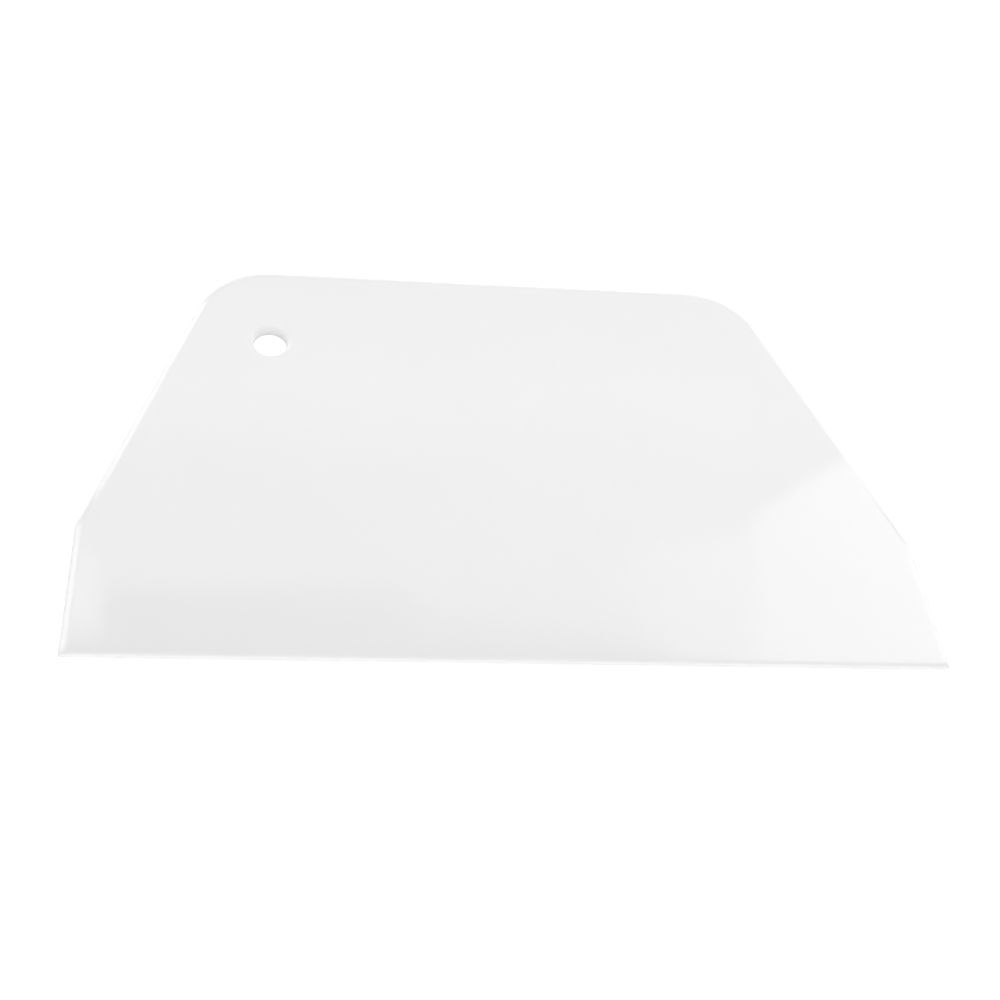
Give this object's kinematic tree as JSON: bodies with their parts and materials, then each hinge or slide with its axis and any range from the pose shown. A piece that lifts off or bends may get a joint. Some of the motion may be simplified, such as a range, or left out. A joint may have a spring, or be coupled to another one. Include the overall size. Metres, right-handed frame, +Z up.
{
  "type": "dough scraper",
  "caption": "Flat flexible plastic dough scraper: trapezoid plate with a long bevelled working edge, round rim and back corners, and a hanging hole.",
  "frame": {"origin": "on the underside, at the middle of the plate's length and depth", "axes": "+X along the working edge, to the right as seen by a user facing it; +Y from the working edge to the back edge held in the hand; +Z up, square to the plate"},
  "size_m": [0.2158, 0.128, 0.002],
  "materials": {
    "white_plastic": "white moulded plastic with an even gloss"
  },
  "bodies": {
    "root": {"scraper_plate": "white_plastic"}
  },
  "joints": []
}
